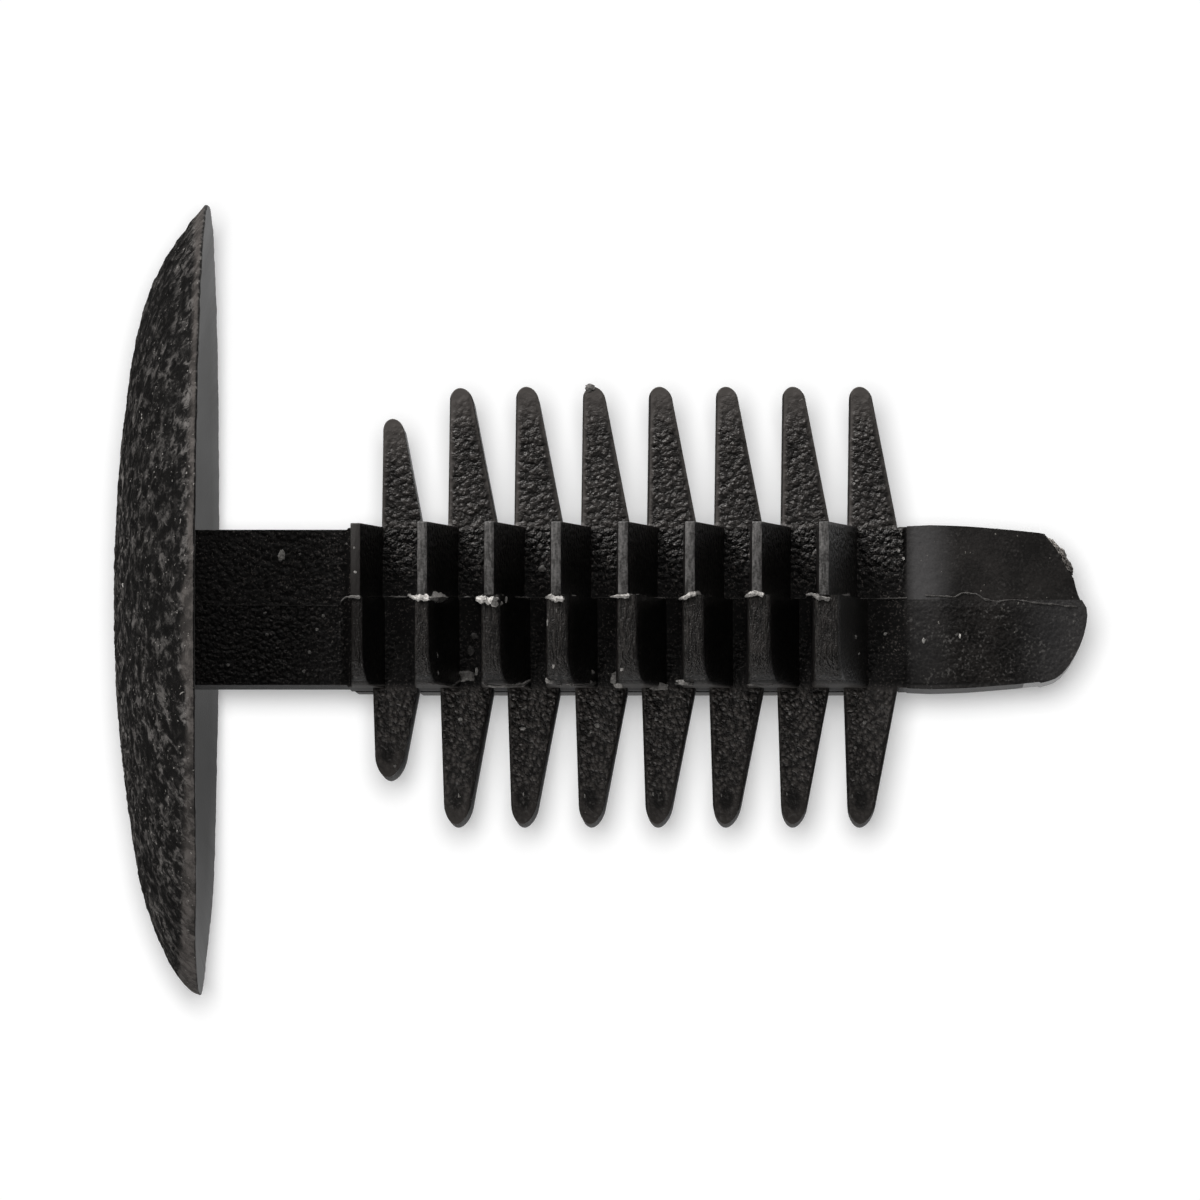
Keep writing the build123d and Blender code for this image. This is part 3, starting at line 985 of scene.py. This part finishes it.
# height, place across the line of sight, half length, half width and paleness, as seen
chips = [
    (5.35, -1.72, 0.10, 0.18, 0.75), (5.94, -1.79, 0.04, 0.04, 0.5), (7.68, -1.99, 0.03, 0.04, 0.6),
    (7.72, -1.21, 0.05, 0.04, 0.7), (7.44, -2.12, 0.03, 0.03, 0.5), (6.49, 0.62, 0.045, 0.04, 0.7),
    (6.25, 1.35, 0.05, 0.05, 0.5), (4.82, 0.1, 0.05, 0.04, 0.3), (4.88, 0.79, 0.05, 0.05, 0.35),
    (3.63, 1.77, 0.05, 0.05, 0.5), (6.07, 1.96, 0.05, 0.05, 0.35), (6.69, 0.19, 0.05, 0.05, 0.35),
    (13.73, -1.32, 0.12, 0.10, 0.25), (11.55, 0.84, 0.12, 0.10, 0.14), (11.45, 1.3, 0.1, 0.14, 0.08),
    (11.3, 2.12, 0.28, 0.16, 0.22), (11.62, 1.96, 0.04, 0.12, 0.5), (10.36, 1.45, 0.03, 0.08, 0.5),
    (10.38, 2.0, 0.03, 0.08, 0.5), (13.9, 0.4, 0.02, 0.10, 0.5), (14.19, 0.02, 0.015, 0.06, 0.3),
    (14.1, 1.75, 0.04, 0.09, 0.5), (13.98, 2.25, 0.14, 0.1, 0.35), (15.33, 2.0, 0.07, 0.07, 0.5),
    (15.28, 2.3, 0.06, 0.05, 0.5),
    (16.1, 2.2, 0.14, 0.2, 0.4), (16.29, 1.87, 0.05, 0.07, 0.6), (16.2, 2.42, 0.14, 0.07, 0.35),
    (17.5, 2.45, 0.3, 0.12, 0.3), (18.35, 2.3, 0.28, 0.08, 0.35), (23.79, 0.86, 0.06, 0.05, 0.5),
    (24.75, 0.77, 0.05, 0.05, 0.6), (23.9, 1.4, 0.04, 0.04, 0.4), (26.0, 0.98, 0.05, 0.08, 0.7),
    (27.16, 0.84, 0.03, 0.07, 0.85), (25.2, -1.9, 0.04, 0.05, 0.5), (25.35, -1.65, 0.04, 0.05, 0.7),
    (11.1, 3.5, 0.06, 0.05, 0.6), (13.1, 3.8, 0.09, 0.05, 0.8), (13.2, 3.1, 0.04, 0.04, 0.5),
    (15.5, 3.7, 0.09, 0.06, 0.5), (15.3, 3.9, 0.04, 0.04, 0.5), (17.4, 3.5, 0.05, 0.05, 0.5),
    (21.7, 3.3, 0.06, 0.06, 0.5), (24.1, 3.6, 0.06, 0.06, 0.4), (23.8, 4.4, 0.05, 0.05, 0.4),
    (11.05, 5.95, 0.02, 0.06, 0.6), (13.13, 5.9, 0.02, 0.06, 0.6), (15.1, 5.95, 0.02, 0.06, 0.6),
    (17.3, 5.9, 0.02, 0.05, 0.5), (19.5, 5.95, 0.02, 0.05, 0.5), (21.6, 5.9, 0.02, 0.05, 0.5),
    (23.7, 5.95, 0.02, 0.05, 0.5), (9.0, 5.0, 0.04, 0.04, 0.4), (15.27, -7.12, 0.16, 0.12, 0.25),
    (1.97, -8.5, 0.05, 0.12, 0.5), (1.76, -7.15, 0.03, 0.06, 0.7), (2.18, -7.35, 0.03, 0.04, 0.7),
    (1.34, -6.1, 0.04, 0.05, 0.6), (1.85, -6.1, 0.04, 0.07, 0.6), (0.28, -0.8, 0.05, 0.08, 0.8),
]


def plain_section(x, z):
    """How far the near side stands out at a place of the plain half, in millimetres."""
    half = core_half / mm
    corner = plain_corner / mm
    for k in range(blade_count):
        up = z - side_roots[k] / mm - plain_shift[k]
        length = (side_reaches[k] - plain_shorter) / mm - half
        top = plain_tips[k] + (side_flat + side_slope) * length
        over = x - (side_out / mm - corner)
        if 0 < over < corner:
            length -= corner - sqrt(corner**2 - over**2)
        if 0 <= up <= top - 0.01:
            return half + min(length, (top - up) / side_slope)
    return half


def near_skin(x, z):
    """How far out the surface is at a place seen from the near side, in millimetres."""
    if z < 2.9:
        # in from the rim, until the dome is met
        inwards = 0.1
        rim = head_radius / mm - inwards
        for n in range(int(head_radius / mm / inwards)):
            y = rim - n * inwards
            r = sqrt(x * x + y * y)
            if r < rim and dome_height(r * mm, -x / r) / mm <= z:
                return y
        return 0
    if z > 25.4:
        return along(nose_flanks, z)
    if abs(x) > 2.6:
        return core_half / mm - draft * (abs(x) - 0.25)
    return plain_section(x, z) if x > 0 else seam_section(z)


def placed(z, x):
    """A place on the near surface, from where it is seen."""
    stand = 2.5
    for n in range(3):
        stand = near_skin(x + seen_from_below * stand, as_placed(z, stand))
    return Vector((x + seen_from_below * stand, -stand, as_placed(z, stand))) * mm


def finely(line):
    """The places and half thicknesses of a line of (z, x, half thickness), with many more points."""
    dense = []
    for start, end in zip(line, line[1:]):
        for n in range(8):
            dense.append([a + (b - a) * n / 8 for a, b in zip(start, end)])
    inwards = Vector((0, 0.02 * mm, 0))
    return [(placed(z, x) + inwards, thick * mm) for z, x, thick in dense + [line[-1]]]


beads("burr", [(finely(line), 0.55) for line in burr_lines])

scraps = []
for count, (z, x, long, wide, paleness) in enumerate(chips):
    deselect_all()
    place = placed(z, x)
    size = Vector((wide, 0.25 * min(long, wide), long)) * mm
    bpy.ops.mesh.primitive_ico_sphere_add(subdivisions=3, radius=mm, location=(0, 0, 0))
    scrap = bpy.context.object
    pale = scrap.data.attributes.new("pale", "FLOAT", "POINT")
    for vertex in scrap.data.vertices:
        unit = vertex.co / mm
        swell = 1 + 0.55 * noise.noise(unit * 1.3 + Vector((count * 3, 0, 0)))
        swell += 0.25 * noise.noise(unit * 3 + Vector((0, count, 0)))
        vertex.co = place + unit * size * swell
        pale.data[vertex.index].value = paleness
    scraps.append(scrap)
finish_piece(joined(scraps), "chips", torn)


# Torn gate
# The runner through which the mould was filled broke off here and left a rough brownish lump
# on the sloping end of the gate half.

gate_middle = Vector((-1.58, 0.1, 30.27)) * mm
gate_lean = radians(31)
gate_size = Vector((0.78, 1.0, 0.34)) * mm


def torn_gate():
    """Dull broken plastic, brownish, with pale fibres."""
    made, spot = new_material("torn_gate")
    lumps = clouds(spot, 0.22, 3, 0.6)
    fibres = clouds(spot, 0.07, 2, 0.6, stretch=(1, 0.5, 1))
    tone = lumps.step(0.36, 0.64).between((0.09, 0.085, 0.08, 1), (0.30, 0.285, 0.27, 1))
    colour = (fibres.step(0.55, 0.7) * 0.6).between(tone, (0.2, 0.185, 0.165, 1))
    return finish_material(made, spot, colour, 0.6 + lumps * 0.2, fibres + lumps, 0.05, 0.3)


deselect_all()
bpy.ops.mesh.primitive_ico_sphere_add(subdivisions=6, radius=mm, location=(0, 0, 0))
lump = bpy.context.object
tilt = Matrix.Rotation(-gate_lean, 3, "Y")
for vertex in lump.data.vertices:
    unit = vertex.co / mm
    swell = 1 + 0.22 * noise.noise(unit * 1.6) + 0.16 * noise.noise(unit * 4) + 0.08 * noise.noise(unit * 11)
    vertex.co = gate_middle + tilt @ (unit * gate_size * swell)
finish_piece(lump, "torn_gate", torn_gate())


# Table and light
# The plug lies before white paper. One long soft lamp stands low at the upper left, past the
# edge of the head, with weak ones opposite. A small lamp by the camera lights the paper alone.

paper_depth = 22 * mm
paper_glow = 0.24
paper_mirror = 0.88

paper_material, paper_spot = new_material("paper")
paper_tree = paper_material.node_tree
paper_shader = paper_tree.nodes["Principled BSDF"]
paper_shader.inputs["Base Color"].default_value = (0.8, 0.8, 0.8, 1)
paper_shader.inputs["Roughness"].default_value = 0.9
paper_shader.inputs["Specular IOR Level"].default_value = 0
rays = paper_tree.nodes.new("ShaderNodeLightPath")
seen_by_camera = Signal(paper_tree, rays.outputs["Is Camera Ray"])
seen_in_gloss = Signal(paper_tree, rays.outputs["Is Glossy Ray"])
paper_x, paper_y, paper_z = parts_of(paper_spot)
# painted shadow: the paper, as the plug sees it in reflections, is darkened close below the grip and the
# blades, where the plug's own shadow would lie, a little towards the plain side, and it fades out towards the
# head's end
side_shade = paper_y.step(-10.5, -9.5) * (1 - paper_y.step(9, 11))
shaded = paper_x.step(1.2, 2.4) * (1 - paper_x.step(4.5, 7)) * side_shade * 0.6
fading = (1 - shaded * 0.85) * (1 - paper_x.step(0, 9) * 0.2)
mirror = seen_in_gloss * (0.08 + paper_y.step(-21, -9) * fading * paper_mirror)
glow = paper_spot.node("ShaderNodeEmission", Strength=seen_by_camera * paper_glow + mirror)
lit = paper_spot.node("ShaderNodeAddShader", i0=Signal(paper_tree, paper_shader.outputs[0]), i1=glow)
behind = Signal(paper_tree, paper_tree.nodes.new("ShaderNodeNewGeometry").outputs["Backfacing"])
clear = paper_spot.node("ShaderNodeBsdfTransparent")
dark = paper_spot.node("ShaderNodeEmission", Strength=mirror)
front = paper_spot.node("ShaderNodeMixShader", i0=seen_by_camera, i1=dark, i2=lit)
seen = paper_spot.node("ShaderNodeMixShader", i0=behind, i1=front, i2=clear)
paper_tree.links.new(seen.socket, paper_tree.nodes["Material Output"].inputs["Surface"])

deselect_all()
paper_middle = (0, paper_depth, 15 * mm)
bpy.ops.mesh.primitive_plane_add(size=1.2, location=paper_middle, rotation=(radians(90), 0, 0))
paper = bpy.context.object
paper.name = "paper"
paper.data.materials.append(paper_material)
paper.visible_diffuse = False
paper.visible_shadow = False

world = bpy.data.worlds.new("room")
bpy.context.scene.world = world
world.use_nodes = True
world_tree = world.node_tree
background = world_tree.nodes["Background"]
background.inputs["Color"].default_value = (1, 1, 1, 1)
seen_directly = Signal(world_tree, world_tree.nodes.new("ShaderNodeLightPath").outputs["Is Camera Ray"])
room_light = 0.03
world_tree.links.new((seen_directly * (1 - room_light) + room_light).socket, background.inputs["Strength"])


def only(name, piece):
    """A collection of one piece, for lamps that light this piece alone."""
    made = bpy.data.collections.new(name)
    made.objects.link(piece)
    return made


only_head = only("only_head", head)
only_paper = only("only_paper", paper)
not_paper = only("not_paper", paper)
not_paper.collection_objects[0].light_linking.link_state = "EXCLUDE"


def lamp(name, place, size, power, receivers, colour=(1, 0.965, 0.94)):
    """A soft round lamp that faces the plug and lights only what it is meant for."""
    data = bpy.data.lights.new(name, "AREA")
    data.shape = "ELLIPSE"
    data.size = size
    data.size_y = size
    data.energy = power
    data.color = colour
    made = bpy.data.objects.new(name, data)
    bpy.context.scene.collection.objects.link(made)
    made.location = place
    made.rotation_euler = (picture_centre - Vector(place)).to_track_quat("-Z", "Y").to_euler()
    made.light_linking.receiver_collection = receivers


lamp("soft_box", (-0.50, -0.25, -0.30), 0.32, 6.5, not_paper)
lamp("top_box", (-0.58, -0.25, 0.0), 0.25, 1.5, not_paper)
lamp("nose_card", (-0.12, -0.30, 0.55), 0.30, 0.4, not_paper)
lamp("front_card", (-0.30, -0.60, 0.05), 0.20, 0.2, not_paper)
lamp("low_card", (0.52, -0.22, -0.26), 0.25, 2.7, not_paper)
lamp("dome_box", (0.30, -0.20, -0.52), 0.20, 1.6, only_head)
beside_camera = camera.location - across * 4 * mm + upwards * 10 * mm
lamp("paper_lamp", beside_camera, 0.041, 4.13, only_paper, colour=(1, 1, 1))

bpy.context.scene.view_settings.view_transform = "Standard"
